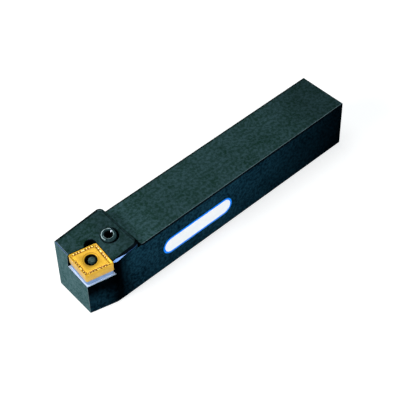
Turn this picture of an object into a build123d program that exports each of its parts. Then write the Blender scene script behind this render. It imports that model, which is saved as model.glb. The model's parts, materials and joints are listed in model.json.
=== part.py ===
from build123d import *

import os
from math import asin, cos, degrees, radians, sin, tan

# Right-hand lever-lock turning tool holder with its indexable insert, in millimetres.
# +X runs along the shank to the cutting corner, +Y to the cutting side and +Z up. The
# origin lies on the base, under the middle of the overall length.

os.makedirs("parts", exist_ok=True)

# Shank and cutting corner
overall_length = 150.0  # rear end to the cutting corner
shank_width = 25.0
shank_height = 25.0  # also the height of the cutting corner
functional_width = 22.0  # far side to the cutting corner
edge_break = 0.4  # chamfer along the shank's edges

# Insert, a double-sided rhombus that cuts on one of its blunt corners
inscribed_circle = 12.7
insert_thickness = 4.76
cutting_angle = 100.0  # the blunt corner
nose_radius = 0.8
insert_hole_diameter = 5.16
hole_countersink = 0.5
insert_lift = 6.0  # rise that takes the insert clear of the pocket and the lever
edge_land = 0.3  # flat strip behind the cutting edge
breaker_slope = 0.8  # land to the groove's floor, in plan
breaker_floor = 0.7
breaker_depth = 0.35
approach_angle = 15.0  # main cutting edge to the shank's axis, in plan
back_rake = 5.0  # fall of the top face to the front
side_rake = 6.0  # fall of the top face to the cutting side

# Shim under the insert, and the split pin that locates it
shim_thickness = 3.18
shim_inset = 0.35
shim_edge_break = 0.25
pin_diameter = 7.0
pin_wall = 0.8
pin_length = 6.6
pin_slit = 0.9
pin_fit = 0.02  # radial, in the shim and in the body
pin_depth = 0.4  # top of the pin under the insert

# Head of the holder
head_length = 26.4  # cutting corner to the shoulder
head_above_insert = 0.2
head_chamfer = 0.5  # down the sides and the shoulder
head_chamfer_width = 1.2  # on the head's top
front_chamfer = 0.4
shoulder_radius = 1.3  # hollow curve at the foot of the shoulder
shoulder_corner_radius = 2.4
front_angle = 3.0  # front face to the shank's cross-section
front_clearance = 0.35  # front face behind the cutting corner
side_clearance = 0.7  # side relief behind the main cutting edge
facet_distance = 19.0  # cutting corner to the start of the chip facet
facet_length = 6.0
facet_width = 1.0
facet_depth = 1.1

# Insert pocket
seat_clearance = 0.1
corner_relief_radius = 2.7
corner_relief_distance = 2.5  # from the pocket's corner, along its front wall

# Clamp screw, on an axis parallel to the insert's hole
screw_distance = 13.4  # from the middle of the insert
screw_heading = 31.6  # turned from the main cutting edge
screw_proud = 0.8  # above the head's top
screw_head_diameter = 6.5
screw_head_chamfer = 0.4
screw_waist_diameter = 3.8
screw_thread_diameter = 6.0
screw_point_chamfer = 0.8
screw_recess = 2.0  # point of the screw above the base
screw_socket_size = 3.0  # across the flats
screw_socket_depth = 4.0
screw_socket_mouth = 4.2
screw_mouth_angle = 30.0  # slope of the socket's mouth
screw_lift = 1.0  # rise of the screw in one turn, which frees the insert
thread_fit = 0.05
screw_bore_diameter = 7.6
screw_bore_chamfer = 0.2
screw_bore_shift = Vector(0.2, -0.4)  # middle of the bore from the screw's axis

# Lever
lever_head_diameter = 3.6
lever_neck_diameter = 3.0
lever_post_diameter = 3.7
lever_head_depth = 1.8  # top of the lever under the insert's top
lever_head_length = 2.4
lever_head_chamfer = 0.6
lever_neck_length = 3.0
lever_flare = 1.2  # head to neck, and neck to post, along the axis
lever_pivot_depth = 14.6  # under the insert's top
lever_arm_width = 3.7
lever_arm_thickness = 2.6
lean_gap = 0.06  # lever's head to the insert's hole
waist_gap = 0.25  # arm to the screw's waist
groove_gap = 0.1  # arm to the shoulders of the screw's groove
cavity_gap = 0.4  # body round the lever

# Label on the cutting side
label_length = 40.7
label_height = 10.0
label_thickness = 0.1
label_distance = 92.0  # rear end to the label's middle
label_level = 12.0  # base to the label's middle

# Places along the shank
rear_x = -overall_length / 2
tip = Vector(overall_length / 2, functional_width - shank_width / 2, shank_height)
shoulder_x = tip.X - head_length
clear_of_part = shank_height + shank_width

# The insert's top face falls to the front and to the cutting side
top_normal = Vector(tan(radians(back_rake)), tan(radians(side_rake)), 1).normalized()
edge_x = -cos(radians(approach_angle))
edge_y = sin(radians(approach_angle))
edge_rise = -(top_normal.X * edge_x + top_normal.Y * edge_y) / top_normal.Z
edge_direction = Vector(edge_x, edge_y, edge_rise).normalized()
tip_plane = Plane(tip, x_dir=edge_direction, z_dir=top_normal)

# Planes centred on the insert, with X along its main cutting edge
insert_side = inscribed_circle / sin(radians(cutting_angle))
insert_skew = insert_side * cos(radians(cutting_angle))
insert_corner = Vector((insert_side + insert_skew) / 2, inscribed_circle / 2)
insert_plane = Plane(
    tip_plane.from_local_coords(insert_corner), x_dir=edge_direction, z_dir=top_normal
)
head_plane = insert_plane.offset(head_above_insert)
shim_plane = insert_plane.offset(-insert_thickness)
pocket_plane = shim_plane.offset(-shim_thickness)

# Section planes of the lever and the screw, with X from one to the other and Y up
screw_step = Vector(screw_distance, 0).rotate(Axis.Z, screw_heading)
to_screw = insert_plane.from_local_coords(screw_step) - insert_plane.origin
section_normal = to_screw.cross(top_normal)
lever_section = Plane(insert_plane.origin, x_dir=to_screw, z_dir=section_normal)
screw_plane = Plane(
    head_plane.from_local_coords(screw_step), x_dir=to_screw, z_dir=top_normal
)
screw_section = Plane(screw_plane.origin, x_dir=to_screw, z_dir=section_normal)

# The lever leans on the side of the insert's hole that faces the screw
lever_x = (insert_hole_diameter - lever_head_diameter) / 2 - lean_gap
pivot_y = -lever_pivot_depth
arm_end_x = screw_distance - screw_waist_diameter / 2 - waist_gap
arm_tip_x = arm_end_x - lever_arm_thickness / 2
arm_length = arm_tip_x - lever_x
cavity_floor = pivot_y - lever_post_diameter / 2 - cavity_gap
arm_ceiling = pivot_y + lever_arm_thickness / 2 + screw_lift + cavity_gap


def rhombus(plane, across, corner_radius=0.0):
    """The insert's outline on a plane, at any distance across its flats."""
    side = across / sin(radians(cutting_angle))
    skew = side * cos(radians(cutting_angle))
    with BuildSketch(plane) as outline:
        Polygon(
            (-(side + skew) / 2, -across / 2),
            ((side - skew) / 2, -across / 2),
            ((side + skew) / 2, across / 2),
            ((skew - side) / 2, across / 2),
        )
        if corner_radius:
            fillet(outline.vertices(), corner_radius)
    return outline.sketch


def head_height(x, y):
    """Height of the head's top above the base at a place in plan."""
    away = top_normal.X * (x - head_plane.origin.X) + top_normal.Y * (y - head_plane.origin.Y)
    return head_plane.origin.Z - away / top_normal.Z


with BuildPart() as holder_body:
    # Shank and head in one side view, with the hollow curve at the shoulder's foot
    with BuildSketch(Plane.XZ) as side_view:
        with BuildLine():
            Polyline(
                (shoulder_x, shank_height),
                (rear_x, shank_height),
                (rear_x, 0),
                (tip.X, 0),
                (tip.X, clear_of_part),
                (shoulder_x, clear_of_part),
                close=True,
            )
        make_face()
        foot = side_view.vertices().sort_by_distance((shoulder_x, 0, shank_height))[0]
        fillet(foot, shoulder_radius)
    extrude(amount=shank_width / 2, both=True)
    chamfer(holder_body.edges().group_by(Axis.X)[0], edge_break)
    chamfer(holder_body.edges().filter_by(Axis.X), edge_break)

    # Rounded rear corners of the head, with the same hollow curve at their foot
    corner_x = shoulder_x + shoulder_corner_radius
    corner_y = shank_width / 2 - shoulder_corner_radius
    for side in (-1, 1):
        with BuildSketch(Plane.XZ.offset(-side * corner_y)) as outside:
            with Locations((shoulder_x, shank_height)):
                Rectangle(
                    shoulder_corner_radius,
                    clear_of_part,
                    align=(Align.MAX, Align.MIN),
                )
            foot = outside.vertices().group_by(Axis.Z)[0].sort_by(Axis.X)[-1]
            fillet(foot, shoulder_radius)
        revolve(
            axis=Axis((corner_x, side * corner_y, 0), (0, 0, -side)),
            revolution_arc=90,
            mode=Mode.SUBTRACT,
        )

    # Front face, side relief under the main cutting edge, and sloping top
    front_normal = Vector(1, 0).rotate(Axis.Z, -front_angle)
    relief_normal = Vector(0, 1).rotate(Axis.Z, -approach_angle)
    front_plane = Plane(tip - Vector(front_clearance, 0), z_dir=front_normal)
    relief_plane = Plane(tip - Vector(0, side_clearance), z_dir=relief_normal)
    for cut in (front_plane, relief_plane, head_plane):
        split(bisect_by=cut, keep=Keep.BOTTOM)
    head_top = holder_body.faces().filter_by(head_plane)[0]
    front_edge = head_top.edges().sort_by(Axis.X)[-1]
    round_top = head_top.edges() - [front_edge]
    chamfer(round_top, head_chamfer_width, head_chamfer, reference=head_top)
    head_top = holder_body.faces().filter_by(head_plane)[0]
    chamfer(head_top.edges().sort_by(Axis.X)[-1], front_chamfer)

    # Chip facet on the cutting side, from nothing to its full size beside the pocket
    side_y = shank_width / 2
    facet_x = tip.X - facet_distance
    facet_end_x = facet_x + facet_length
    facet_end_height = head_height(facet_end_x, side_y)
    facet_start = Vector(facet_x, side_y, head_height(facet_x, side_y) - head_chamfer)
    facet_inner = Vector(facet_end_x, side_y - facet_width, facet_end_height)
    facet_outer = Vector(facet_end_x, side_y, facet_end_height - facet_depth)
    facet_normal = (facet_inner - facet_start).cross(facet_outer - facet_start)
    split(bisect_by=Plane(facet_start, z_dir=facet_normal), keep=Keep.BOTTOM)

    # Pocket, open to the front and the cutting side, with its corner relieved
    pocket_centre = pocket_plane.from_local_coords(-insert_corner)
    pocket_outline = rhombus(
        Plane(pocket_centre, x_dir=edge_direction, z_dir=top_normal),
        2 * (inscribed_circle + seat_clearance),
    )
    extrude(pocket_outline, amount=clear_of_part, mode=Mode.SUBTRACT)
    with BuildSketch(pocket_plane):
        with Locations(insert_corner - Vector(corner_relief_distance, 0)):
            Circle(corner_relief_radius)
    extrude(amount=clear_of_part, mode=Mode.SUBTRACT)

    # Blind bore for the pin and the lever, bore for the screw, and passage between
    with BuildSketch(insert_plane.offset(cavity_floor)):
        Circle(pin_diameter / 2 + pin_fit)
    extrude(amount=-cavity_floor, mode=Mode.SUBTRACT)
    with Locations(screw_plane):
        Hole(screw_thread_diameter / 2 + thread_fit)
    with BuildSketch(screw_plane):
        with Locations(screw_bore_shift):
            Circle(screw_bore_diameter / 2)
    extrude(amount=cavity_floor - head_above_insert, mode=Mode.SUBTRACT)
    with BuildSketch(lever_section):
        with Locations((0, cavity_floor)):
            Rectangle(
                screw_distance,
                arm_ceiling - cavity_floor,
                align=(Align.MIN, Align.MIN),
            )
    extrude(amount=lever_arm_width / 2 + cavity_gap, both=True, mode=Mode.SUBTRACT)
    bore_mouth = (
        holder_body.edges()
        .filter_by(GeomType.CIRCLE)
        .sort_by_distance(screw_plane.origin)[0]
    )
    chamfer(bore_mouth, screw_bore_chamfer)
holder_body.part.label = "holder_body"
export_step(holder_body.part, "parts/holder_body.step")

with BuildPart() as insert:
    # Upper half, with the chip-breaking groove behind its cutting edges
    extrude(
        rhombus(insert_plane, inscribed_circle, nose_radius), amount=-insert_thickness / 2
    )
    groove_outer = inscribed_circle - 2 * edge_land
    groove_floor_outer = groove_outer - 2 * breaker_slope
    groove_floor_inner = groove_floor_outer - 2 * breaker_floor
    groove_inner = groove_floor_inner - 2 * breaker_depth
    floor_plane = insert_plane.offset(-breaker_depth)
    groove = (
        rhombus(insert_plane, groove_outer, nose_radius),
        rhombus(floor_plane, groove_floor_outer, nose_radius),
    )
    loft(groove, ruled=True, mode=Mode.SUBTRACT)
    island = (
        rhombus(floor_plane, groove_floor_inner, nose_radius),
        rhombus(insert_plane, groove_inner, nose_radius),
    )
    loft(island, ruled=True)
    with Locations(insert_plane):
        Hole(insert_hole_diameter / 2)
    hole_mouth = (
        insert.edges().filter_by(GeomType.CIRCLE).sort_by_distance(insert_plane.origin)[0]
    )
    chamfer(hole_mouth, hole_countersink)
    mirror(about=insert_plane.offset(-insert_thickness / 2))
    LinearJoint(
        "lift", axis=Axis(insert_plane.origin, top_normal), linear_range=(0, insert_lift)
    )
insert.part.label = "insert"
export_step(insert.part, "parts/insert.step")

with BuildPart() as shim:
    shim_across = inscribed_circle - 2 * shim_inset
    extrude(rhombus(shim_plane, shim_across, nose_radius), amount=-shim_thickness)
    flats = shim.faces().filter_by(shim_plane)
    chamfer(flats.edges(), shim_edge_break)
    with Locations(shim_plane):
        Hole(pin_diameter / 2 + pin_fit)
shim.part.label = "shim"
export_step(shim.part, "parts/shim.step")

with BuildPart() as shim_pin:
    # Tube with a slit on the side away from the screw
    with BuildSketch(shim_plane.offset(-pin_depth)):
        Circle(pin_diameter / 2)
        Circle(pin_diameter / 2 - pin_wall, mode=Mode.SUBTRACT)
        with PolarLocations(pin_diameter / 2, 1, start_angle=screw_heading + 180):
            Rectangle(pin_diameter, pin_slit, mode=Mode.SUBTRACT)
    extrude(amount=-pin_length)
shim_pin.part.label = "shim_pin"
export_step(shim_pin.part, "parts/shim_pin.step")

with BuildPart() as lever:
    # Turned post, with a barrel at its head and a ball at its heel
    head_top_y = -lever_head_depth
    head_bottom_y = head_top_y - lever_head_length
    neck_top_y = head_bottom_y - lever_flare
    neck_bottom_y = neck_top_y - lever_neck_length
    post_top_y = neck_bottom_y - lever_flare
    barrel_radius = lever_head_diameter / 2
    neck_radius = lever_neck_diameter / 2
    post_radius = lever_post_diameter / 2
    with BuildSketch(lever_section):
        with BuildLine():
            Polyline(
                (lever_x, pivot_y - post_radius),
                (lever_x, head_top_y),
                (lever_x + barrel_radius - lever_head_chamfer, head_top_y),
                (lever_x + barrel_radius, head_top_y - lever_head_chamfer),
                (lever_x + barrel_radius, head_bottom_y),
                (lever_x + neck_radius, neck_top_y),
                (lever_x + neck_radius, neck_bottom_y),
                (lever_x + post_radius, post_top_y),
                (lever_x + post_radius, pivot_y),
            )
            RadiusArc(
                (lever_x + post_radius, pivot_y),
                (lever_x, pivot_y - post_radius),
                post_radius,
            )
        make_face()
    lever_top = lever_section.from_local_coords(Vector(lever_x, 0))
    revolve(axis=Axis(lever_top, top_normal))

    # Flat arm with a round end, which lies in the screw's groove
    with BuildSketch(lever_section):
        with Locations(((lever_x + arm_tip_x) / 2, pivot_y)):
            SlotCenterToCenter(arm_tip_x - lever_x, lever_arm_thickness)
    extrude(amount=lever_arm_width / 2, both=True)

    # The heel rocks in its bore, and the arm's tip follows the screw's rise
    pivot = lever_section.from_local_coords(Vector(lever_x, pivot_y))
    lever_swing = degrees(asin(screw_lift / arm_length))
    RevoluteJoint("heel", axis=Axis(pivot, section_normal), angular_range=(0, lever_swing))
lever.part.label = "lever"
export_step(lever.part, "parts/lever.step")

with BuildPart() as clamp_screw:
    # Plain head, waist for the lever's arm, and thread, turned in one piece
    groove_y = pivot_y - head_above_insert
    groove_half = lever_arm_thickness / 2 + groove_gap
    point_y = screw_recess - screw_plane.origin.Z / top_normal.Z
    head_radius = screw_head_diameter / 2
    waist_radius = screw_waist_diameter / 2
    thread_radius = screw_thread_diameter / 2
    mouth_radius = screw_socket_mouth / 2
    mouth_depth = mouth_radius * tan(radians(screw_mouth_angle))
    with BuildSketch(screw_section):
        with BuildLine():
            Polyline(
                (0, point_y),
                (0, screw_proud - mouth_depth),
                (mouth_radius, screw_proud),
                (head_radius - screw_head_chamfer, screw_proud),
                (head_radius, screw_proud - screw_head_chamfer),
                (head_radius, groove_y + groove_half),
                (waist_radius, groove_y + groove_half),
                (waist_radius, groove_y - groove_half),
                (thread_radius, groove_y - groove_half),
                (thread_radius, point_y + screw_point_chamfer),
                (thread_radius - screw_point_chamfer, point_y),
                close=True,
            )
        make_face()
    revolve(axis=Axis(screw_plane.origin, top_normal))
    with BuildSketch(screw_plane.offset(screw_proud)):
        RegularPolygon(screw_socket_size / 2, 6, major_radius=False)
    extrude(amount=-screw_socket_depth, mode=Mode.SUBTRACT)
    LinearJoint(
        "thread", axis=Axis(screw_plane.origin, top_normal), linear_range=(0, screw_lift)
    )
clamp_screw.part.label = "clamp_screw"
export_step(clamp_screw.part, "parts/clamp_screw.step")

with BuildPart() as label:
    label_middle = Vector(rear_x + label_distance, shank_width / 2, label_level)
    with BuildSketch(Plane(label_middle, x_dir=(-1, 0, 0), z_dir=(0, 1, 0))):
        SlotOverall(label_length, label_height)
    extrude(amount=label_thickness)
label.part.label = "label"
export_step(label.part, "parts/label.step")
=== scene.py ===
import json
from math import atan2, cos, degrees, pi, radians, sin, tan

import bmesh
import bpy
from mathutils import Matrix, Quaternion, Vector


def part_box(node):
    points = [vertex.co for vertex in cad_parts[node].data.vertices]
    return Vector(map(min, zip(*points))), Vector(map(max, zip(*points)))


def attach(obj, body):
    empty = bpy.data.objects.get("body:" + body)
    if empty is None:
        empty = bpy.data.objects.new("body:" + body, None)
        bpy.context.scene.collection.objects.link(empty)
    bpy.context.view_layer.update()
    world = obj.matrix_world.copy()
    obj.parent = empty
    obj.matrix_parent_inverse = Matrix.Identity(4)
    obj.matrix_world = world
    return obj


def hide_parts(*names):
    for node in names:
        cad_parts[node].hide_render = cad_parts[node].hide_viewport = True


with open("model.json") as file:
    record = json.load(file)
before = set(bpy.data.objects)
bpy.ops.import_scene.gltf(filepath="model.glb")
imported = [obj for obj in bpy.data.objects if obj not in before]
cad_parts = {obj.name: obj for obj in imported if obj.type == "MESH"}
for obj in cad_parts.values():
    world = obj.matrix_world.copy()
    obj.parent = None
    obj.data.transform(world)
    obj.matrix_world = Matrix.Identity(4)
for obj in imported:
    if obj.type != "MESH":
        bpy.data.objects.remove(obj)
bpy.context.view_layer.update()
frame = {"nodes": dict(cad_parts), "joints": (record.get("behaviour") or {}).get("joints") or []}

# Turning tool holder, dressed on its CAD frame. Lengths are in metres unless a comment says mm.
MM = 0.001
MERGE = 0.0001 * MM  # distance at which points of a solid are one

# Camera, in the frame's axes
CAMERA_PLACE = Vector((0.24624, 0.27036, 0.40215))
CAMERA_AIM = Vector((0.00556, 0.00228, 0.0125))
CAMERA_ROLL = radians(1.61)
CAMERA_LENS = 108.8  # mm
CAMERA_SENSOR = 36  # mm
CAMERA_NEAR, CAMERA_FAR = 0.01, 50

# Stage
FLOOR_SIZE = 6.0
FLOOR_COLOUR = (0.30, 0.31, 0.33)  # in the light that it throws on the object
FLOOR_SEEN = (0.60, 0.60, 0.60)
FLOOR_GLOW = 0.70  # by the object, where its shadow stays
GLOW_FROM, GLOW_TO = 0.16, 0.34  # from the origin, between which it rises to full white
WHITE = (1, 1, 1)
ROOM_COLOUR = (0.75, 0.9, 1)
ROOM_LIGHT = 0.14
# name, place, aim, size, watts and colour of each lamp
LAMPS = (
    ("key", (0.45, -0.12, 0.25), (0.06, 0, 0.025), 0.28, 2.4, (1, 1, 1)),
    ("top", (0.05, -0.15, 0.60), (0.03, 0, 0.02), 0.4, 1.1, (0.95, 1, 1)),
    ("side", (0.04, 1.0, 0.19), (0.02, 0, 0.012), 0.34, 8.5, (0.97, 0.99, 1)),
)

# Insert, a double-sided rhombus. Depths and distances run inwards from its edge.
INSERT_ACROSS = 12.62 * MM
INSERT_HALF = 2.38 * MM
INSERT_CORNER = radians(100)
INSERT_NOSE = 0.8 * MM
NOSE_SHRINK = 0.6  # of the nose's radius, for each length inwards
NOSE_LEAST = 0.15 * MM
EDGE_TURN = radians(10)  # of one pair of edges, from square to the other
INSERT_MERGE = 0.001 * MM
INSERT_HOLE = 5.16 * MM
INSERT_MOUTH = 6.7 * MM
INSERT_MOUTH_DEPTH = 0.32 * MM
APPROACH = radians(15)
NOSE_STEPS = 36  # round all four corners
EDGE_STEPS = 100
CORNER_TURNS = (10, 90, 190, 270)  # degrees between which the four corners lie
CUTTING_EDGE = ((0, -0.045), (0.01, -0.015))  # mm, as below
# distance from the edge and height over the top of each line across the chip breaker, in mm
BREAKER = (
    (0.03, 0.0), (0.16, 0.0), (0.25, -0.02), (0.36, -0.11), (0.47, -0.20), (0.58, -0.28),
    (0.70, -0.35), (0.82, -0.40), (0.95, -0.43), (1.08, -0.44), (1.20, -0.43), (1.29, -0.37),
    (1.37, -0.25), (1.45, -0.12), (1.53, -0.03), (1.62, 0.0), (1.80, 0.0),
)
# middle along the edge, half length and height of each chip breaker bump, in mm
BUMPS = ((0, 1.0, 0.40),) + tuple(
    (side * centre, 0.31, 0.37) for side in (-1, 1) for centre in (1.75, 2.95, 4.15)
)
BUMP_OUTER, BUMP_INNER = 0.36, 1.25  # mm from the edge
# Where the chip breaker gets painted highlight on its bumps, and painted shade in the groove and
# on the inner slope of its two rear edges
BUMP_BRIGHT_ABOVE = 0.24  # mm over the groove
GROOVE_DARK_BELOW = 0.12  # mm under the top
GROOVE_REACH = 4.75  # mm along the edge from its middle
SLOPE_OUTER, SLOPE_INNER = 1.28, 1.5  # mm from the edge
SLOPE_REACH = 3.85  # mm along the edge from its middle

# Clamp screw. Heights are from its top.
SCREW_STEPS = 48  # round the screw
WAIST_TOP = -14.2 * MM
WAIST_BOTTOM = -17.0 * MM
SOCKET_ACROSS = 3.0 * MM
SOCKET_DEPTH = 4.0 * MM
SOCKET_MOUTH = 4.5 * MM
SOCKET_SLOPE = radians(30)
SOCKET_EDGE = 0.24 * MM  # from the edge of its mouth down to the cone
HEAD_DIAMETER = 6.5 * MM
WAIST_DIAMETER = 3.8 * MM
THREAD_DIAMETER = 6.0 * MM
THREAD_PITCH = 1.0 * MM
THREAD_DEPTH = 0.54 * MM
# reach in thread depths below the crest, and drop in pitches, of the groove's profile
THREAD_PROFILE = ((0, 0), (0, 0.14), (1, 0.50), (1, 0.64), (0, 1))
POINT_CHAMFER = 0.8 * MM
RIM_RUBBED_AND_LIT = Vector((-0.47, 0.88, 0))  # side on which the rim is rubbed and has a painted highlight
RIM_RUBBED_AND_LIT_FROM = 0.07
MOUTH_RUBBED_AND_LIT_TO = 0.35  # along the screw's own Y, up to which the mouth's edge is rubbed and has a painted highlight
PAINTED_GLINT_TURN, PAINTED_GLINT_HALF = radians(13), radians(7)  # where the painted glint lies, about the screw's axis

# Steel pieces
EDGE_ROUND = 0.09 * MM
SHARP_FROM = 18  # degrees between faces
FLAT_TO = 0.2  # degrees between faces
CROWN_RAISE = 0.9 * MM  # of the lever's head
CROWN_PART = 1.0 * MM  # what is raised, down from its top
CROWN_END = 0.05 * MM  # what is tapered, down from its top
CROWN_TAPER = 0.8

# Places on the body where its finish changes, as limits along X, Y and Z in mm, with 999
# for none
ANY = (-999, 999)
SEAT_HEIGHTS = (16.5, 20)
NOSE_PLACE = ((72, 999), ANY, ANY)
NOSE_EDGE_PLACE = ((72.5, 999), ANY, (0.8, 999))
FACET_PLACE = ((54, 64), (10.5, 999), (24, 999))
FACET_EDGE_PLACE = ((49.5, 62), (12, 999), (25.3, 27.3))
SEAT_PLACE = ((60, 999), (-5, 999), SEAT_HEIGHTS)
SEAT_EDGE_PLACE = ((60.5, 999), (8, 999), SEAT_HEIGHTS)
SHOULDER_PLACE = ((47.2, 48.8), ANY, ANY)
POCKET_PLACE = ((60, 75), (-999, 12), (17.2, 28))
BORE_PLACE = ((49, 999), (-9, 9), (2, 27.5))
SHANK_EDGE_PLACE = ((-999, 47.2), (11.5, 999), (24.5, 999))
FAR_CORNER_PLACE = ((-999, 52), (-999, -9), (28.5, 999))

# Label
LABEL_STEPS = 96  # round both ends together
LABEL_BORDER = 0.90 * MM
LABEL_TRIM = 0.35 * MM  # less than its solid, all round
LABEL_MOVE = Vector((-0.8, 0, 0.4)) * MM
LABEL_ROUND = 0.03 * MM

# Shades of the body's black finish, most of them painted shade or painted light. A shade says
# where it starts and ends, and how bright the finish is there against its plain colour.
SIDE_FACES = (0.5, 0.9)  # part of a face's normal across the shank, where a side starts

# These are on its upright sides.
BEND_X = 60.5 * MM  # where the near side turns in to the cutting corner
# painted shade: darker towards the rear
SIDE_REAR = (-85 * MM, 0, 0, 1)
SIDE_REAR_CURVE = 1.3
SIDE_LOW = (2 * MM, 21 * MM, 0.65, 1)
# painted shade, darkest at the bend of the near side
SIDE_BEND = (1 * MM, 8.5 * MM, 0.08, 1)  # away from the bend
# with BELOW_SEAT, painted shade on the near side past the bend, up under the seat and insert
PAST_BEND = (BEND_X - 2 * MM, BEND_X + 1 * MM)
BELOW_SEAT = (5 * MM, 13 * MM, 0, 0.93)
# painted shade just under the shank's top edge
BELOW_EDGE = (23.9 * MM, 24.3 * MM, 1, 0.12)
SHANK_END = 47.2 * MM

# These are on its top.
TOP_FROM = 24 * MM
HEAD_FROM = 25.2 * MM
# painted shade: darker towards the rear
TOP_REAR = (-62 * MM, -42 * MM, 0.66, 1)
# painted light: brighter on the shank's top by the head
TOP_BY_HEAD = (30 * MM, 46 * MM, 1, 1.35)
HEAD_START = (47.6 * MM, 48.6 * MM)
HEAD_TOP = (52 * MM, 60 * MM, 0.60, 0.84)
# painted shade at the head's near rear corner
HEAD_CORNER = (38.95 * MM, 39.45 * MM, 0.04, 1)  # along X - Y
SHOULDER_X = 46.8 * MM
# painted highlight along the shank's end at the shoulder
SHOULDER_LINE = (0.2 * MM, 0.5 * MM, 1.3, 1)  # away from the shoulder
# painted shade at the foot of the shoulder
SHOULDER_ROOT = (47.3 * MM, 47.7 * MM, 1, 0.05)
FAR_EDGE = (-11.9 * MM, -11.3 * MM, 0.03, 1)


class Nodes:
    """The node tree of a material, a group or the world, with short ways to add to it."""

    def __init__(self, tree):
        self.tree = tree
        self.tree.nodes.clear()

    def add(self, kind, settings=None, **inputs):
        """Adds a node. Inputs are named with _ for a space, and hold values or sockets."""
        node = self.tree.nodes.new(("" if kind.startswith("Node") else "ShaderNode") + kind)
        for name, value in (settings or {}).items():
            setattr(node, name, value)
        for name, value in inputs.items():
            self.join(node.inputs[name.replace("_", " ")], value)
        return node

    def join(self, socket, value):
        """Feeds a socket from another, or sets its value. Colours are given without alpha."""
        if isinstance(value, bpy.types.NodeSocket):
            self.tree.links.new(value, socket)
        elif socket.type == "RGBA":
            socket.default_value = (*value, 1)
        else:
            socket.default_value = value

    def math(self, operation, first, second=0.0, clamp=False):
        node = self.add("Math", {"operation": operation, "use_clamp": clamp})
        self.join(node.inputs[0], first)
        self.join(node.inputs[1], second)
        return node.outputs[0]

    def product(self, first, *others):
        for factor in others:
            first = self.math("MULTIPLY", first, factor)
        return first

    def distance(self, value, middle):
        return self.math("ABSOLUTE", self.math("SUBTRACT", value, middle))

    def blend(self, amount, first, second, mode="MIX"):
        """Mixes two colours."""
        node = self.add("Mix", {"data_type": "RGBA", "blend_type": mode})
        self.join(node.inputs["Factor"], amount)
        self.join(node.inputs[6], first)
        self.join(node.inputs[7], second)
        return node.outputs[2]

    def choose(self, amount, first, second):
        """Mixes two numbers."""
        node = self.add("Mix", {"data_type": "FLOAT"})
        self.join(node.inputs["Factor"], amount)
        self.join(node.inputs[2], first)
        self.join(node.inputs[3], second)
        return node.outputs[0]

    def span(self, value, low, high, to_low=0.0, to_high=1.0):
        """Maps a range of values to another, and stops at its ends."""
        node = self.add("MapRange", Value=value, From_Min=low, From_Max=high)
        self.join(node.inputs["To Min"], to_low)
        self.join(node.inputs["To Max"], to_high)
        return node.outputs["Result"]

    def grey(self, value):
        node = self.add("CombineColor")
        for name in ("Red", "Green", "Blue"):
            self.join(node.inputs[name], value)
        return node.outputs[0]

    def noise(self, vector, scale, detail, roughness):
        node = self.add("TexNoise", Vector=vector, Scale=scale, Detail=detail)
        self.join(node.inputs["Roughness"], roughness)
        return node.outputs["Fac"]


def new_group(name, inputs, outputs):
    """Makes a shader group. Each of its sockets is given as (name, kind)."""
    tree = bpy.data.node_groups.new(name, "ShaderNodeTree")
    for in_out, sockets in (("INPUT", inputs), ("OUTPUT", outputs)):
        for label, kind in sockets:
            tree.interface.new_socket(label, in_out=in_out, socket_type="NodeSocket" + kind)
    nodes = Nodes(tree)
    return nodes, nodes.add("NodeGroupInput").outputs, nodes.add("NodeGroupOutput").inputs


def use(nodes, group, **inputs):
    """Places a group in a material and returns its outputs."""
    return nodes.add("Group", {"node_tree": group}, **inputs).outputs


# ---- effects shared by the materials ----


def ground_grain():
    """Fine lines along one way, as a grinding wheel or a belt leaves them."""
    nodes, given, out = new_group(
        "ground_grain",
        (("Vector", "Vector"), ("Fineness", "Float"), ("Stretch", "Vector")),
        (("Lines", "Float"),),
    )
    along = nodes.add("VectorMath", {"operation": "MULTIPLY"})
    nodes.join(along.inputs[0], given["Vector"])
    nodes.join(along.inputs[1], given["Stretch"])
    lines = nodes.noise(along.outputs[0], given["Fineness"], detail=3, roughness=0.6)
    nodes.join(out["Lines"], lines)
    return nodes.tree


def patchy_finish():
    """Slow and fast colour changes of a coating, between a dark and a light shade."""
    nodes, given, out = new_group(
        "patchy_finish",
        (("Vector", "Vector"), ("Dark", "Color"), ("Light", "Color"), ("Patch Size", "Float"),
         ("Speckle Size", "Float"), ("Speckle", "Float")),
        (("Color", "Color"), ("Mask", "Float")),
    )
    patch_scale = nodes.math("DIVIDE", 1.0, given["Patch Size"])
    speckle_scale = nodes.math("DIVIDE", 1.0, given["Speckle Size"])
    slow = nodes.noise(given["Vector"], patch_scale, detail=3, roughness=0.55)
    fast = nodes.noise(given["Vector"], speckle_scale, detail=3, roughness=0.7)
    patches = nodes.span(slow, 0.3, 0.7)
    speckles = nodes.span(fast, 0.41, 0.59)
    both = nodes.choose(given["Speckle"], patches, speckles)
    nodes.join(out["Mask"], both)
    nodes.join(out["Color"], nodes.blend(both, given["Dark"], given["Light"]))
    return nodes.tree


def rubbed_edge():
    """A broken mask of the places where an edge has lost its coating."""
    nodes, given, out = new_group(
        "rubbed_edge",
        (("Vector", "Vector"), ("Break Size", "Float"), ("Cover", "Float")),
        (("Mask", "Float"),),
    )
    scale = nodes.math("DIVIDE", 1.0, given["Break Size"])
    broken = nodes.noise(given["Vector"], scale, detail=4, roughness=0.7)
    low = nodes.math("SUBTRACT", 0.9, given["Cover"])
    away = nodes.math("SUBTRACT", broken, low)
    nodes.join(out["Mask"], nodes.math("MULTIPLY", away, 5.0, clamp=True))
    return nodes.tree


GRAIN = ground_grain()
PATCHY = patchy_finish()
RUBBED = rubbed_edge()


# ---- materials ----


def new_material(name):
    made = bpy.data.materials.new(name)
    made.use_nodes = True
    nodes = Nodes(made.node_tree)
    place = nodes.add("TexCoord").outputs["Object"]
    return made, nodes, place


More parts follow.
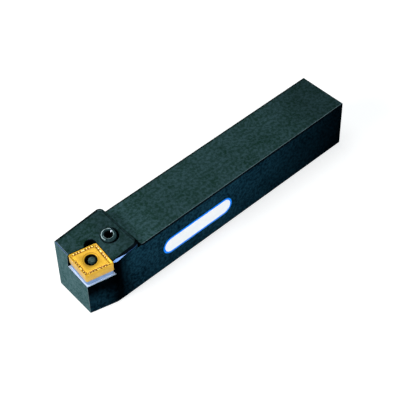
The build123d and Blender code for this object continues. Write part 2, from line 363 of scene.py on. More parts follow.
def finish_material(made, nodes, metallic, specular, **shader_inputs):
    shader = nodes.add("BsdfPrincipled", **shader_inputs)
    shader.inputs["Metallic"].default_value = metallic
    shader.inputs["Specular IOR Level"].default_value = specular
    nodes.add("OutputMaterial", Surface=shader.outputs[0])
    return made


def skin_relief(nodes, place, side):
    """Fine grinding lines and pits, left in the steel under its coating."""
    lengthways = use(nodes, GRAIN, Vector=place, Stretch=(0.10, 1, 1), Fineness=1500.0)["Lines"]
    upright = use(nodes, GRAIN, Vector=place, Stretch=(1, 1, 0.2), Fineness=1100.0)["Lines"]
    lines = nodes.choose(side, lengthways, upright)
    pits = nodes.noise(place, 1300.0, detail=2, roughness=0.5)
    height = nodes.math("ADD", nodes.product(lines, 0.5), nodes.product(pits, 0.8))
    bump = nodes.add("Bump", Strength=0.3, Distance=0.04 * MM, Height=height)
    return lines, bump.outputs[0]


def side_mask(nodes):
    """1 on the upright faces along the shank, and 0 on the top and the ends."""
    faces = nodes.add("NewGeometry").outputs["True Normal"]
    way = nodes.add("SeparateXYZ", Vector=faces)
    return nodes.span(nodes.math("ABSOLUTE", way.outputs["Y"]), *SIDE_FACES)


def black_oxide(name, dark, light, side_dark=None, side_light=None, shade=None):
    """Blued and oiled steel: patchy and speckled, and bluer on the faces along its sides; darker
    side colours there are painted shade.
    """
    made, nodes, place = new_material(name)
    side = side_mask(nodes)
    skin = use(nodes, PATCHY, Vector=place,
               Dark=nodes.blend(side, dark, side_dark or dark),
               Light=nodes.blend(side, light, side_light or light),
               Patch_Size=12 * MM, Speckle_Size=1.4 * MM, Speckle=0.62)
    lines, relief = skin_relief(nodes, place, side)
    streaks = nodes.grey(nodes.span(lines, 0.3, 0.7, 0.93, 1.07))
    colour = nodes.blend(1.0, skin["Color"], streaks, "MULTIPLY")
    if shade:
        colour = nodes.blend(1.0, colour, nodes.grey(shade(nodes, place, side)), "MULTIPLY")
    rough = nodes.span(skin["Mask"], 0.0, 1.0, 0.44, 0.58)
    return finish_material(made, nodes, metallic=0.0, specular=0.0, Base_Color=colour,
                           Roughness=rough, Normal=relief)


def side_shade(nodes, x, y, z):
    """Painted shade on the sides: to the rear, under the shank's top edge, and at the bend and
    below the seat on the near side; and darker towards the bottom.
    """
    below_seat = nodes.product(nodes.span(x, *PAST_BEND), nodes.span(z, *BELOW_SEAT))
    by_seat = nodes.product(
        nodes.span(nodes.distance(x, BEND_X), *SIDE_BEND),
        nodes.math("SUBTRACT", 1.0, below_seat),
    )
    near_side = nodes.math("GREATER_THAN", y, 0.0)
    on_shank = nodes.math("LESS_THAN", x, SHANK_END)
    return nodes.product(
        nodes.math("POWER", nodes.span(x, *SIDE_REAR), SIDE_REAR_CURVE),
        nodes.span(z, *SIDE_LOW),
        nodes.choose(near_side, 1.0, by_seat),
        nodes.choose(on_shank, 1.0, nodes.span(z, *BELOW_EDGE)),
    )


def top_shade(nodes, x, y, z):
    """Painted shade to the rear, at the shoulder's foot and the head's near rear corner; painted
    light by the head and along the shoulder; darker on the head's top and along the far edge.
    """
    by_head = nodes.choose(
        nodes.span(x, *HEAD_START), nodes.span(x, *TOP_BY_HEAD), nodes.span(x, *HEAD_TOP)
    )
    shoulder = nodes.product(
        nodes.span(nodes.distance(x, SHOULDER_X), *SHOULDER_LINE),
        nodes.span(x, *SHOULDER_ROOT),
    )
    corner = nodes.span(nodes.math("SUBTRACT", x, y), *HEAD_CORNER)
    at_head = nodes.math("GREATER_THAN", z, HEAD_FROM)
    shaded = nodes.product(
        by_head, nodes.choose(at_head, shoulder, corner), nodes.span(y, *FAR_EDGE)
    )
    upper = nodes.math("GREATER_THAN", z, TOP_FROM)
    return nodes.product(nodes.span(x, *TOP_REAR), nodes.choose(upper, 1.0, shaded))


def body_shade(nodes, place, side):
    """How much of the plain finish's brightness is left at each place of the body, with its
    painted shade and light.
    """
    at = nodes.add("SeparateXYZ", Vector=place).outputs
    place = (at["X"], at["Y"], at["Z"])
    return nodes.choose(side, top_shade(nodes, *place), side_shade(nodes, *place))


def rubbed_steel(name, skin_colour, bare_dark, bare_light, break_size, cover):
    """An edge where the coating is partly rubbed off, so that bright steel shows."""
    made, nodes, place = new_material(name)
    bare = use(nodes, PATCHY, Vector=place, Dark=bare_dark, Light=bare_light,
               Patch_Size=4 * MM, Speckle_Size=0.5 * MM, Speckle=0.5)
    worn = use(nodes, RUBBED, Vector=place, Break_Size=break_size, Cover=cover)["Mask"]
    colour = nodes.blend(worn, skin_colour, bare["Color"])
    rough = nodes.span(bare["Mask"], 0.0, 1.0, 0.34, 0.46)
    nicks = nodes.add("Bump", Strength=0.3, Distance=0.03 * MM, Height=worn)
    return finish_material(made, nodes, metallic=0.0, specular=0.3, Base_Color=colour,
                           Roughness=rough, Normal=nicks.outputs[0])


def bright_metal(name, dark, light, roughness, metallic=0.0):
    """Ground carbide or steel, bare or thinly coated; some of its colours are painted
    reflection, highlight or shade.
    """
    made, nodes, place = new_material(name)
    skin = use(nodes, PATCHY, Vector=place, Dark=dark, Light=light,
               Patch_Size=3 * MM, Speckle_Size=0.4 * MM, Speckle=0.45)
    lines = use(nodes, GRAIN, Vector=place, Stretch=(1, 1, 0.06), Fineness=3500.0)["Lines"]
    bump = nodes.add("Bump", Strength=0.25, Distance=0.02 * MM, Height=lines)
    rough = nodes.span(lines, 0.3, 0.7, roughness - 0.06, roughness + 0.06)
    return finish_material(made, nodes, metallic, specular=0.05, Base_Color=skin["Color"],
                           Roughness=rough, Normal=bump.outputs[0])


def gold_coating(name, dark, light):
    """Titanium nitride on carbide, with a slightly grainy skin."""
    made, nodes, place = new_material(name)
    skin = use(nodes, PATCHY, Vector=place, Dark=dark, Light=light,
               Patch_Size=2.2 * MM, Speckle_Size=0.3 * MM, Speckle=0.55)
    grain = nodes.noise(place, 5200.0, detail=3, roughness=0.6)
    bump = nodes.add("Bump", Strength=0.22, Distance=0.02 * MM, Height=grain)
    rough = nodes.span(grain, 0.3, 0.7, 0.28, 0.40)
    return finish_material(made, nodes, metallic=0.35, specular=0.4, Base_Color=skin["Color"],
                           Roughness=rough, Normal=bump.outputs[0])


def label_film(name, dark, light):
    """Printed plastic film, faintly mottled by its glue."""
    made, nodes, place = new_material(name)
    skin = use(nodes, PATCHY, Vector=place, Dark=dark, Light=light,
               Patch_Size=4 * MM, Speckle_Size=0.5 * MM, Speckle=0.3)
    dents = nodes.noise(place, 500.0, detail=3, roughness=0.5)
    bump = nodes.add("Bump", Strength=0.1, Distance=0.03 * MM, Height=dents)
    rough = nodes.span(skin["Mask"], 0.0, 1.0, 0.32, 0.42)
    return finish_material(made, nodes, metallic=0.0, specular=0.05, Base_Color=skin["Color"],
                           Roughness=rough, Normal=bump.outputs[0])


# Each finish has a dark and a light shade.
SKIN = (0.006, 0.016, 0.019)  # left beside the rubbed places
# The body's much darker side colours are partly its own blue tone, partly painted shade.
BODY_STEEL = black_oxide(
    "body_black_oxide", (0.007, 0.029, 0.019), (0.038, 0.082, 0.092),
    side_dark=(0.0003, 0.005, 0.011), side_light=(0.010, 0.047, 0.074), shade=body_shade,
)
# A lighter copy of the black finish for the head's front faces: painted light.
BODY_FRONT_PAINTED_LIGHT = black_oxide("front_black_oxide_painted_light", (0.034, 0.084, 0.086), (0.096, 0.176, 0.188))
# Near black: painted shade on the shoulder, the edge chamfers, the hollows' walls and edges
# turned from the light.
BODY_PAINTED_SHADE = black_oxide("black_oxide_painted_shade", (0.001, 0.002, 0.003), (0.003, 0.006, 0.009))
LEVER_STEEL = black_oxide("lever_black_oxide", (0.006, 0.022, 0.020), (0.075, 0.13, 0.125))
SCREW_STEEL = black_oxide("screw_black_oxide", (0.003, 0.010, 0.012), (0.026, 0.056, 0.062))
# Near black in the screw's socket: painted shade.
SOCKET_PAINTED_SHADE = black_oxide("socket_painted_shade", (0.0005, 0.001, 0.001), (0.002, 0.003, 0.003))
# rubbed edges, put on the lit sides, where they are painted highlight too
BODY_EDGE = rubbed_steel(
    "body_rubbed_edge_and_painted_highlight", SKIN, (0.04, 0.08, 0.09), (0.13, 0.21, 0.22), 6 * MM, 0.75
)
LEVER_EDGE = rubbed_steel(
    "lever_rubbed_edge", SKIN, (0.06, 0.10, 0.10), (0.16, 0.24, 0.23), 1 * MM, 0.5
)
SCREW_RIM = rubbed_steel(
    "screw_rubbed_rim_and_painted_highlight", (0.03, 0.07, 0.075), (0.14, 0.24, 0.25), (0.50, 0.66, 0.68),
    1.8 * MM, 0.52,
)
SCREW_MOUTH = rubbed_steel(
    "screw_rubbed_mouth_and_painted_highlight", (0.04, 0.09, 0.09), (0.13, 0.22, 0.22), (0.28, 0.40, 0.40),
    1.5 * MM, 0.55,
)
# Bright blue on the head's ground facet: painted reflection.
FACET_PAINTED_REFLECTION = bright_metal("ground_facet_painted_reflection", (0.09, 0.25, 0.64), (0.36, 0.56, 1.0), 0.35)
FRONT_CHAMFER = bright_metal("front_chamfer", (0.006, 0.022, 0.08), (0.025, 0.075, 0.21), 0.4)
# Pale ground steel of the seat; its pale blue is partly painted reflection.
SEAT_STEEL = bright_metal("ground_seat_painted_reflection", (0.44, 0.56, 0.78), (0.74, 0.84, 1.0), 0.35)
# The shim's blue is painted reflection on grey carbide, and its pale edges partly painted
# highlight.
SHIM_CARBIDE = bright_metal("shim_carbide_painted_reflection", (0.10, 0.19, 0.37), (0.27, 0.39, 0.62), 0.35)
SHIM_EDGE = bright_metal("shim_ground_edge_painted_highlight", (0.6, 0.68, 0.84), (0.78, 0.85, 0.95), 0.3)
PIN_STEEL = bright_metal("pin_spring_steel", (0.05, 0.06, 0.07), (0.12, 0.14, 0.15), 0.4, 0.6)
# Near black down the insert's hole: painted shade.
BORE_PAINTED_SHADE = bright_metal("bore_painted_shade", (0.001, 0.001, 0.001), (0.005, 0.004, 0.003), 0.5)
GOLD = gold_coating("gold_coating", (0.46, 0.23, 0.004), (0.72, 0.42, 0.012))
# Darker and paler gold for the chip breaker: painted shade and painted highlight.
GOLD_GROOVE = gold_coating("gold_groove_painted_shade", (0.19, 0.07, 0.001), (0.37, 0.145, 0.003))
GOLD_BUMP = gold_coating("gold_bump_painted_highlight", (0.86, 0.62, 0.10), (0.98, 0.78, 0.26))
LABEL_WHITE = label_film("label_white", (0.88, 0.88, 0.89), (0.95, 0.95, 0.95))
LABEL_BLUE = label_film("label_blue", (0.0, 0.20, 0.90), (0.0, 0.25, 1.0))


# ---- pieces ----


def to_object(name, bm, matrix, materials, smooth_angle):
    """Puts a piece made about the origin in its place, and makes its object."""
    bmesh.ops.transform(bm, matrix=matrix, verts=bm.verts)
    for edge in bm.edges:
        sides = edge.link_faces
        edge.smooth = len(sides) == 2 and edge.calc_face_angle() < radians(smooth_angle)
    for face in bm.faces:
        face.smooth = True
    mesh = bpy.data.meshes.new(name)
    bm.to_mesh(mesh)
    bm.free()
    for made in materials:
        mesh.materials.append(made)
    piece = bpy.data.objects.new(name, mesh)
    bpy.context.scene.collection.objects.link(piece)
    return piece


def middle(node):
    low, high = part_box(node)
    return (low + high) / 2


def joint(name):
    return next(j for j in frame["joints"] if j["name"] == name)


def upright_axes(centre, along, up):
    """A place with Z on up and X on along, made square to it."""
    z = up.normalized()
    x = (along - along.dot(z) * z).normalized()
    y = z.cross(x)
    turned = Matrix((x, y, z)).transposed().to_4x4()
    return Matrix.Translation(centre) @ turned


HEAD_UP = Vector(joint("insert_lift")["axis"]).normalized()
EDGE_WAY = Vector((-cos(APPROACH), sin(APPROACH), 0))


def whole_loop(vert):
    """Every point of the closed line that a point lies on, in order."""
    loop = [vert]
    edge = vert.link_edges[0]
    while True:
        vert = edge.other_vert(vert)
        if vert == loop[0]:
            return loop
        loop.append(vert)
        edge = next(e for e in vert.link_edges if e != edge)


def split_evenly(edge, parts):
    """Puts points along an edge, at equal distances."""
    start = edge.verts[0]
    for left in range(parts, 1, -1):
        start = bmesh.utils.edge_split(edge, start, 1 / left)[1]


def next_ring(bm, ring, places, finish=0):
    """Draws a band of faces out of a closed line of points, to a place for each point.

    The finish is a material's number, or a function that gives one for a face.
    """
    ahead = ring[1:] + ring[:1]
    rim = [bm.edges.get(pair) for pair in zip(ring, ahead)]
    made = set(bmesh.ops.extrude_edge_only(bm, edges=rim)["geom"])
    drawn = []
    for vert, place in zip(ring, places):
        partner = next(e.other_vert(vert) for e in vert.link_edges if e.other_vert(vert) in made)
        partner.co = place
        drawn.append(partner)
    for face in made:
        if isinstance(face, bmesh.types.BMFace):
            face.material_index = finish(face) if callable(finish) else finish
    return drawn


def half_step(steps):
    """Turns a circle by half the angle between its points."""
    return Matrix.Rotation(pi / steps, 4, "Z")


def round_places(ring, radius, height):
    """A circle that keeps the direction of each point of a ring."""
    middle_of_ring = Vector((0, 0, height))
    return [middle_of_ring + Vector((*v.co.xy, 0)).normalized() * radius for v in ring]


def rhombus_ring(bm, inset, height):
    """The insert's outline, moved inwards, with a fine row of points along each edge."""
    across = INSERT_ACROSS - 2 * inset
    nose = max(INSERT_NOSE - NOSE_SHRINK * inset, NOSE_LEAST)
    side = (across - 2 * nose) / sin(INSERT_CORNER)
    skew = side * cos(INSERT_CORNER)
    reach = across / 2 - nose
    corners = (
        Vector(((side + skew) / 2, reach, 0)),
        Vector(((skew - side) / 2, reach, 0)),
        Vector((-(side + skew) / 2, -reach, 0)),
        Vector(((side - skew) / 2, -reach, 0)),
    )
    ring = bmesh.ops.create_circle(
        bm,
        segments=NOSE_STEPS,
        radius=nose,
        matrix=Matrix.Translation((0, 0, height)) @ half_step(NOSE_STEPS),
    )["verts"]
    home = {}
    for vert in ring:
        degree = round(degrees(atan2(vert.co.y, vert.co.x))) % 360
        home[vert] = (sum(degree > turn for turn in CORNER_TURNS) - 1) % 4
    for vert, corner in home.items():
        vert.co += corners[corner]
    sides = {e for v in ring for e in v.link_edges if home[e.verts[0]] != home[e.verts[1]]}
    for edge in sides:
        split_evenly(edge, EDGE_STEPS)
    return whole_loop(ring[0])


def rhombus_places(inset, height):
    """Where the points of the insert's outline lie at a distance from its edge."""
    scratch = bmesh.new()
    places = [v.co.copy() for v in rhombus_ring(scratch, inset, height)]
    scratch.free()
    return places


def bump_height(along, inset):
    """How far a chip breaker bump stands out of the groove, in mm: flat on top along it."""
    if not BUMP_OUTER < inset < BUMP_INNER:
        return 0.0
    across = sin(pi * (inset - BUMP_OUTER) / (BUMP_INNER - BUMP_OUTER)) ** 0.7
    tall = 0.0
    for centre, half, height in BUMPS:
        away = abs(along - centre) / half
        if away < 1:
            tall = max(tall, height * (1 - away ** 4) ** 1.5)
    return tall * across


def along_edge(place):
    """How far along its own edge of the insert a place lies, from the edge's middle, in mm."""
    far = Vector((cos(EDGE_TURN), sin(EDGE_TURN), 0))
    along_far = Vector((-far.y, far.x, 0))
    if abs(place.y) > abs(place.dot(far)):
        return (place.x - place.y / tan(INSERT_CORNER)) / MM
    return (place.dot(along_far) + place.dot(far) / tan(INSERT_CORNER)) / MM


def with_bumps(places, inset):
    """Lifts a line of the chip breaker where it crosses the bumps of its own edge."""
    for place in places:
        place.z += bump_height(along_edge(place), inset) * MM
    return places


# HOLE_SHADE is painted shade down the hole, DEEP painted shade and RAISED painted highlight
COATED, DEEP, HOLE_SHADE, RAISED = range(4)


def groove_finish(inset):
    """Painted shade between the bumps of a line of the chip breaker and on the inner slope of
    its two rear edges, and painted highlight on the bumps.
    """
    def finish(face):
        centre = face.calc_center_median()
        along = along_edge(centre)
        if bump_height(along, inset) > BUMP_BRIGHT_ABOVE:
            return RAISED
        on_slope = SLOPE_OUTER < inset < SLOPE_INNER and abs(along) < SLOPE_REACH
        rear_half = centre.x > centre.y
        if on_slope and rear_half:
            return DEEP
        below = centre.z < INSERT_HALF - GROOVE_DARK_BELOW * MM
        in_groove = below and inset < BUMP_INNER and abs(along) < GROOVE_REACH
        return DEEP if in_groove else COATED
    return finish


def make_insert():
    """Double-sided insert: rounded edge, land, groove with bumps, island, and clamping hole."""
    bm = bmesh.new()
    top = INSERT_HALF
    ring = rhombus_ring(bm, 0, 0)
    for inset, height in CUTTING_EDGE:
        ring = next_ring(bm, ring, rhombus_places(inset * MM, top + height * MM))
    for inset, height in BREAKER:
        places = with_bumps(rhombus_places(inset * MM, top + height * MM), inset)
        ring = next_ring(bm, ring, places, groove_finish(inset))
    hole = INSERT_HOLE / 2
    mouth = INSERT_MOUTH / 2
    # a painted shade line in the mouth's countersink, and painted shade down the hole
    for radius, height, finish in (
        (mouth + 0.10 * MM, top, COATED),
        (mouth - 0.06 * MM, top - 0.08 * MM, DEEP),
        (hole + 0.20 * MM, top - INSERT_MOUTH_DEPTH, COATED),
        (hole, top - INSERT_MOUTH_DEPTH - 0.08 * MM, HOLE_SHADE),
        (hole, 0, HOLE_SHADE),
    ):
        ring = next_ring(bm, ring, round_places(ring, radius, height), finish)
    bmesh.ops.mirror(bm, geom=bm.verts[:] + bm.edges[:] + bm.faces[:], matrix=Matrix(),
                     merge_dist=INSERT_MERGE, axis="Z")
    bmesh.ops.remove_doubles(bm, verts=bm.verts, dist=INSERT_MERGE)
    bmesh.ops.recalc_face_normals(bm, faces=bm.faces)
    place = upright_axes(middle("insert"), EDGE_WAY, HEAD_UP)
    finishes = [GOLD, GOLD_GROOVE, BORE_PAINTED_SHADE, GOLD_BUMP]
    piece = to_object("insert_gold", bm, place, finishes, smooth_angle=60)
    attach(piece, "insert")
    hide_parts("insert")


FILM, PRINT = range(2)


def make_label():
    """Pill of film with a printed border, on the cutting side of the shank."""
    low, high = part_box("label")
    radius = (high.z - low.z) / 2 - LABEL_TRIM
    spread = (high.x - low.x) / 2 - LABEL_TRIM - radius
    bm = bmesh.new()
    bmesh.ops.create_circle(bm, cap_ends=True, segments=LABEL_STEPS, radius=radius,
                            matrix=half_step(LABEL_STEPS))
    for vert in bm.verts:
        vert.co.x += spread if vert.co.x > 0 else -spread
    film = bm.faces[:]
    thickness = high.y - low.y
    back = bmesh.ops.extrude_face_region(bm, geom=film)
    bmesh.ops.translate(bm, vec=(0, 0, thickness),
                        verts=[g for g in back["geom"] if isinstance(g, bmesh.types.BMVert)])
    bmesh.ops.recalc_face_normals(bm, faces=bm.faces)
    top = max(bm.faces, key=lambda f: f.calc_center_median().z)
    bmesh.ops.bevel(bm, geom=top.edges[:], offset=LABEL_ROUND, affect="EDGES", segments=2,
                    profile=0.5, material=-1)
    top = max(bm.faces, key=lambda f: (round(f.calc_center_median().z, 7), f.calc_area()))
    for face in bm.faces:
        face.material_index = PRINT
    bmesh.ops.inset_region(bm, faces=[top], thickness=LABEL_BORDER, use_even_offset=True)
    top.material_index = FILM
    # Its own X runs along the shank, and Z out of its side.
    turned = Matrix(((1, 0, 0), (0, 0, 1), (0, -1, 0))).to_4x4()
    centre = Vector(((low.x + high.x) / 2, low.y, (low.z + high.z) / 2)) + LABEL_MOVE
    piece = to_object("label_pill", bm, Matrix.Translation(centre) @ turned,
                      [LABEL_WHITE, LABEL_BLUE], smooth_angle=30)
    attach(piece, "holder")
    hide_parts("label")


# PAINTED_GLINT is a painted highlight at the socket's mouth
BLUED, SOCKET, RIM, MOUTH, PAINTED_GLINT = range(5)


def rim_finish(face):
    """The screw's rim is rubbed bright, with a painted highlight, on one side."""
    worn = face.calc_center_median().normalized().dot(RIM_RUBBED_AND_LIT) > RIM_RUBBED_AND_LIT_FROM
    return RIM if worn else BLUED


def in_painted_glint(face):
    """Whether a face lies in the painted glint at the socket's mouth."""
    at = face.calc_center_median()
    return abs(atan2(at.y, at.x) - PAINTED_GLINT_TURN) < PAINTED_GLINT_HALF


def cone_finish(face):
    """The cone down to the socket has painted shade, apart from the painted glint."""
    return PAINTED_GLINT if in_painted_glint(face) else SOCKET


def mouth_finish(face):
    """The edge of the socket's mouth is rubbed, with a painted highlight, on one side, and holds
    the painted glint.
    """
    worn = face.calc_center_median().normalized().y < MOUTH_RUBBED_AND_LIT_TO
    return PAINTED_GLINT if in_painted_glint(face) else MOUTH if worn else BLUED


def make_screw():
    """Clamp screw, with a hexagon socket, a waist for the lever, and a cut thread."""
    top, length = top_and_length("clamp_screw", HEAD_UP)
    radius = HEAD_DIAMETER / 2
    waist = WAIST_DIAMETER / 2
    mouth = SOCKET_MOUTH / 2
    bm = bmesh.new()
    bmesh.ops.create_circle(bm, cap_ends=True, segments=6,
                            radius=SOCKET_ACROSS / 2 / cos(pi / 6),
                            matrix=Matrix.Translation((0, 0, -SOCKET_DEPTH)))
    for edge in bm.edges[:]:
        split_evenly(edge, SCREW_STEPS // 6)
    ring = [loop.vert for loop in bm.faces[:][0].loops]
    wall = [Vector((v.co.x, v.co.y, 0)) for v in ring]
    for place in wall:
        place.z = -(mouth - place.length) * tan(SOCKET_SLOPE)
    ring = next_ring(bm, ring, wall)
    # painted shade in the socket
    for face in bm.faces:
        face.material_index = SOCKET
    cone = round_places(ring, mouth - SOCKET_EDGE, -SOCKET_EDGE * tan(SOCKET_SLOPE))
    ring = next_ring(bm, ring, cone, cone_finish)
    for reach, height, finish in (
        (mouth - 0.05 * MM, -0.03 * MM, mouth_finish),
        (mouth + 0.05 * MM, 0, mouth_finish),
        (radius - 0.52 * MM, 0, BLUED),
        (radius - 0.32 * MM, -0.03 * MM, rim_finish),
        (radius - 0.12 * MM, -0.13 * MM, rim_finish),
        (radius - 0.02 * MM, -0.28 * MM, rim_finish),
        (radius, -0.42 * MM, BLUED),
        (radius, WAIST_TOP + 0.1 * MM, BLUED),
        (radius - 0.1 * MM, WAIST_TOP, BLUED),
        (waist + 0.2 * MM, WAIST_TOP, BLUED),
        (waist, WAIST_TOP - 0.2 * MM, BLUED),
        (waist, WAIST_BOTTOM - 0.1 * MM, BLUED),
    ):
        ring = next_ring(bm, ring, round_places(ring, reach, height), finish)
    rim = [bm.edges.get(pair) for pair in zip(ring, ring[1:] + ring[:1])]
    bmesh.ops.contextual_create(bm, geom=rim)
    bm.from_mesh(cut_thread(WAIST_BOTTOM, POINT_CHAMFER - length))
    bmesh.ops.recalc_face_normals(bm, faces=bm.faces)
    place = upright_axes(top, Vector((-1, 0, 0)), HEAD_UP)
    # the shim's pale edge steel serves for the painted glint
    finishes = [SCREW_STEEL, SOCKET_PAINTED_SHADE, SCREW_RIM, SCREW_MOUTH, SHIM_EDGE]
    piece = to_object("clamp_screw_turned", bm, place, finishes, smooth_angle=40)
    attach(piece, "clamp_screw")
    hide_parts("clamp_screw")


def cut_thread(start, end):
    """A threaded length, cut off square at its start and chamfered at its end."""
    crest = THREAD_DIAMETER / 2
    first = start + 1.5 * THREAD_PITCH
    turns = int((first - end) / THREAD_PITCH) + 2
    bm = bmesh.new()
    groove = [
        bm.verts.new((crest - depth * THREAD_DEPTH, 0, first - drop * THREAD_PITCH))
        for depth, drop in THREAD_PROFILE
    ]
    line = [bm.edges.new(pair) for pair in zip(groove, groove[1:])]
    bmesh.ops.spin(bm, geom=groove + line, cent=(0, 0, 0), axis=(0, 0, 1), angle=2 * pi * turns,
                   dvec=(0, 0, -THREAD_PITCH / SCREW_STEPS), steps=SCREW_STEPS * turns,
                   use_merge=False)
    bmesh.ops.remove_doubles(bm, verts=bm.verts, dist=MERGE)
    for height, above in ((start, True), (end, False)):
        bmesh.ops.bisect_plane(bm, geom=bm.verts[:] + bm.edges[:] + bm.faces[:], dist=MERGE,
                               plane_co=(0, 0, height), plane_no=(0, 0, 1), clear_outer=above,
                               clear_inner=not above)
    rim = [e for e in bm.edges if e.is_boundary and e.verts[0].co.z < (start + end) / 2]
    point = bmesh.ops.extrude_edge_only(bm, edges=rim)["geom"]
    point = [g for g in point if isinstance(g, bmesh.types.BMVert)]
    inwards = 1 - POINT_CHAMFER / crest
    bmesh.ops.scale(bm, vec=(inwards, inwards, 1), verts=point)
    bmesh.ops.translate(bm, vec=(0, 0, -POINT_CHAMFER), verts=point)
    bmesh.ops.holes_fill(bm, edges=[e for e in bm.edges if e.is_boundary], sides=0)
    mesh = bpy.data.meshes.new("thread")
    bm.to_mesh(mesh)
    bm.free()
    return mesh


def top_and_length(node, up):
    """The middle of a turned node's top, and its length, along its own axis."""
    across = Vector((0, 1, 0)).cross(up).normalized()
    other = up.cross(across)
    points = [v.co for v in frame["nodes"][node].data.vertices]
    high = max(p.dot(up) for p in points)
    low = min(p.dot(up) for p in points)
    flat = [p for p in points if p.dot(up) > high - 0.01 * MM]
    centre = up * high
    for way in (across, other):
        reach = [p.dot(way) for p in flat]
        centre += way * (min(reach) + max(reach)) / 2
    return centre, high - low


# FACET and SEAT are partly painted reflection, FRONT painted light, DARK painted shade
STEEL, EDGE, FACET, DARK, FRONT, CHAMFER, SEAT = range(7)


def dress_steel(node, name, body, finishes, finish_of=None, edge_finish=None,
                reshape=None):
    """A CAD solid with its sharp edges rounded and rubbed, or given a painted highlight or shade
    where an edge finish says so.
    """
    bm = bmesh.new()
    bm.from_mesh(frame["nodes"][node].data)
    bmesh.ops.remove_doubles(bm, verts=bm.verts, dist=MERGE)
    bmesh.ops.dissolve_limit(bm, angle_limit=radians(FLAT_TO), verts=bm.verts, edges=bm.edges)
    if reshape:
        reshape(bm)
    if finish_of:
        for face in bm.faces:
            face.material_index = finish_of(face)
    sharp = [e for e in bm.edges if e.calc_face_angle() > radians(SHARP_FROM)]
    strips = bmesh.ops.bevel(bm, geom=sharp, offset=EDGE_ROUND, affect="EDGES", segments=2,
                             profile=0.5, material=-1)["faces"]
    for face in strips:
        face.material_index = edge_finish(face) if edge_finish else EDGE
    piece = to_object(name, bm, Matrix(), finishes, smooth_angle=30)
    weighted = piece.modifiers.new("flat_faces", "WEIGHTED_NORMAL")
    weighted.keep_sharp = True
    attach(piece, body)
    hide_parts(node)


def within(at, limits):
    """Whether a place, in mm, lies between the limits along each axis."""
    return all(low < value < high for value, (low, high) in zip(at, limits))


def body_finish(face):
    """Which finish each face of the body has."""
    at = face.calc_center_median() / MM
    way = face.normal
    # the facet's bright blue is painted reflection
    if way.y > 0.55 and within(at, FACET_PLACE):
        return FACET
    if way.x > 0.5 and 0.3 < way.z < 0.9 and within(at, NOSE_PLACE):
        return CHAMFER
    # the head's front faces get the lighter copy of the finish, which is painted light
    if way.x > 0.9 and within(at, NOSE_PLACE):
        return FRONT
    # the seat's pale blue is partly painted reflection
    if way.z > 0.95 and within(at, SEAT_PLACE):
        return SEAT
    shoulder = way.x < -0.02 and way.z > 0.02 and within(at, SHOULDER_PLACE)
    edge_chamfer = abs(abs(way.y) - 0.707) < 0.05 and abs(abs(way.z) - 0.707) < 0.05
    beside_facet = 0.3 < way.y < 0.55 and way.z > 0.8
    hollow = within(at, POCKET_PLACE) or within(at, BORE_PLACE)
    wall = abs(way.z) < 0.5 and hollow
    # painted shade on the shoulder, the edge chamfers, beside the facet and on the walls of
    # pocket and bores
    return DARK if shoulder or edge_chamfer or beside_facet or wall else STEEL


def body_edge_finish(face):
    """Rubbed bare steel, which is also painted highlight, on the outer edges of the lit sides; a
    painted blue highlight along the facet; and painted shade on the others.
    """
    at = face.calc_center_median() / MM
    way = face.normal
    if way.y > 0.55 and within(at, FACET_EDGE_PLACE):
        return FACET if at.x > FACET_PLACE[0][0] else CHAMFER
    beside_seat = within(at, (ANY, ANY, SEAT_HEIGHTS))
    front = way.x > 0.25 and within(at, NOSE_EDGE_PLACE) and not beside_seat
    ledge = way.y > 0.3 and within(at, SEAT_EDGE_PLACE)
    shank_top = way.z > 0.75 and within(at, SHANK_EDGE_PLACE)
    far_corner = way.z > 0.3 and within(at, FAR_CORNER_PLACE)
    return EDGE if front or ledge or shank_top or far_corner else DARK


def raise_crown(bm):
    """Lengthens the lever's head along its own axis, and tapers its end."""
    top = max(v.co.dot(HEAD_UP) for v in bm.verts)
    crown = [v for v in bm.verts if v.co.dot(HEAD_UP) > top - CROWN_PART]
    bmesh.ops.translate(bm, vec=HEAD_UP * CROWN_RAISE, verts=crown)
    end = [v for v in crown if v.co.dot(HEAD_UP) > top + CROWN_RAISE - CROWN_END]
    centre = sum((v.co for v in end), Vector()) / len(end)
    for vert in end:
        vert.co = centre + (vert.co - centre) * CROWN_TAPER


dress_steel(
    "holder_body", "holder_black_steel", "holder",
    [BODY_STEEL, BODY_EDGE, FACET_PAINTED_REFLECTION, BODY_PAINTED_SHADE, BODY_FRONT_PAINTED_LIGHT, FRONT_CHAMFER, SEAT_STEEL],
    body_finish, body_edge_finish,
)
dress_steel("shim", "shim_ground", "holder", [SHIM_CARBIDE, SHIM_EDGE])
dress_steel("shim_pin", "shim_pin_rolled", "holder", [PIN_STEEL, PIN_STEEL])
dress_steel("lever", "lever_turned", "lever", [LEVER_STEEL, LEVER_EDGE],
            reshape=raise_crown)
make_insert()
make_screw()
make_label()


# ---- stage, lamps and camera ----


def background_rays(nodes):
    """1 in what the camera, mirrors and glass see, and 0 in the light on the object."""
    seen = nodes.add("LightPath").outputs
    viewed = nodes.math("MAXIMUM", seen["Is Camera Ray"], seen["Is Glossy Ray"])
    return nodes.math("MAXIMUM", viewed, seen["Is Transmission Ray"])


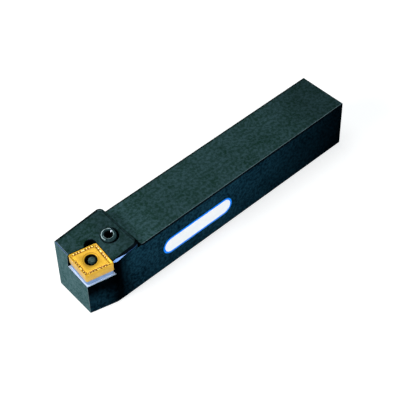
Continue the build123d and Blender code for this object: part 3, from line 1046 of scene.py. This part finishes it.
def floor_material():
    """Pale and matt. What the camera, mirrors and glass see of it is lifted to white."""
    made = bpy.data.materials.new("floor")
    made.use_nodes = True
    nodes = Nodes(made.node_tree)
    viewed = background_rays(nodes)
    colour = nodes.blend(viewed, FLOOR_COLOUR, FLOOR_SEEN)
    matt = nodes.add("BsdfDiffuse", Color=colour)
    away = nodes.add("VectorMath", {"operation": "LENGTH"})
    nodes.join(away.inputs[0], nodes.add("TexCoord").outputs["Object"])
    lift = nodes.span(away.outputs["Value"], GLOW_FROM, GLOW_TO, FLOOR_GLOW, 1.0)
    glow = nodes.add("Emission", Color=WHITE, Strength=nodes.product(viewed, lift))
    both = nodes.add("AddShader")
    nodes.join(both.inputs[0], matt.outputs[0])
    nodes.join(both.inputs[1], glow.outputs[0])
    nodes.add("OutputMaterial", Surface=both.outputs[0])
    return made


def make_floor():
    mesh = bpy.data.meshes.new("floor")
    bm = bmesh.new()
    bmesh.ops.create_grid(bm, x_segments=1, y_segments=1, size=FLOOR_SIZE)
    bm.to_mesh(mesh)
    bm.free()
    floor = bpy.data.objects.new("floor", mesh)
    bpy.context.scene.collection.objects.link(floor)
    mesh.materials.append(floor_material())


def make_world():
    world = bpy.data.worlds.new("studio")
    bpy.context.scene.world = world
    world.use_nodes = True
    nodes = Nodes(world.node_tree)
    room = nodes.add("Background", Color=ROOM_COLOUR, Strength=ROOM_LIGHT)
    backdrop = nodes.add("Background", Color=WHITE, Strength=1.0)
    mix = nodes.add("MixShader", Fac=background_rays(nodes))
    nodes.join(mix.inputs[1], room.outputs[0])
    nodes.join(mix.inputs[2], backdrop.outputs[0])
    nodes.add("OutputWorld", Surface=mix.outputs[0])


def make_lamp(name, place, aim, size, watts, colour):
    light = bpy.data.lights.new(name, "AREA")
    light.shape = "SQUARE"
    light.size = size
    light.energy = watts
    light.color = colour
    lamp = bpy.data.objects.new(name, light)
    lamp.location = place
    lamp.rotation_mode = "QUATERNION"
    lamp.rotation_quaternion = (Vector(aim) - Vector(place)).to_track_quat("-Z", "Y")
    bpy.context.scene.collection.objects.link(lamp)


def make_camera():
    data = bpy.data.cameras.new("camera")
    data.lens = CAMERA_LENS
    data.sensor_width = CAMERA_SENSOR
    data.clip_start = CAMERA_NEAR
    data.clip_end = CAMERA_FAR
    camera = bpy.data.objects.new("camera", data)
    camera.location = CAMERA_PLACE
    camera.rotation_mode = "QUATERNION"
    level = (CAMERA_AIM - CAMERA_PLACE).to_track_quat("-Z", "Y")
    camera.rotation_quaternion = level @ Quaternion((0, 0, 1), -CAMERA_ROLL)
    bpy.context.scene.collection.objects.link(camera)
    bpy.context.scene.camera = camera


make_floor()
make_world()
for lamp in LAMPS:
    make_lamp(*lamp)
make_camera()
bpy.context.scene.view_settings.view_transform = "Standard"
